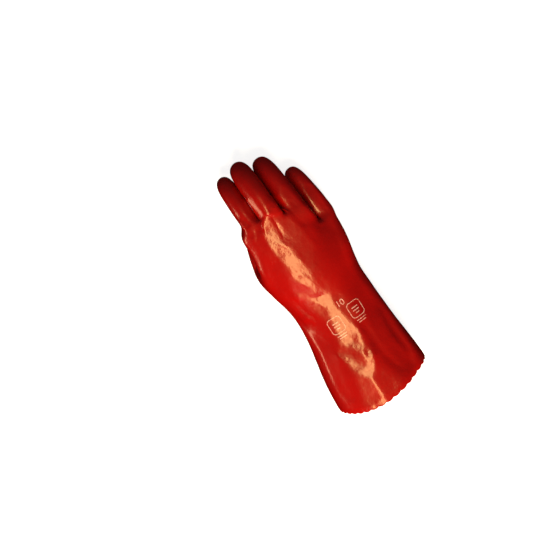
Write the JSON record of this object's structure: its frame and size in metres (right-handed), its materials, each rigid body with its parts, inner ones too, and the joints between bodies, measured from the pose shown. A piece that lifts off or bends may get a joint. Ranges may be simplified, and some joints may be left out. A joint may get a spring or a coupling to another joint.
{
  "type": "pvc coated work glove",
  "caption": "Long right-hand gauntlet glove of PVC on cotton knit, hollow, with rounded fingers, a scalloped cuff edge and a slightly bent hand.",
  "frame": {"origin": "middle of the glove's outline seen from above, on the surface it lies on", "axes": "+Y towards the fingertips, +Z out of the back of the hand, +X towards the little finger, with the thumb at -X"},
  "size_m": [0.1254, 0.3338, 0.0744],
  "materials": {
    "pvc": "glossy"
  },
  "bodies": {
    "root": {"glove_shell": "pvc"}
  },
  "joints": []
}
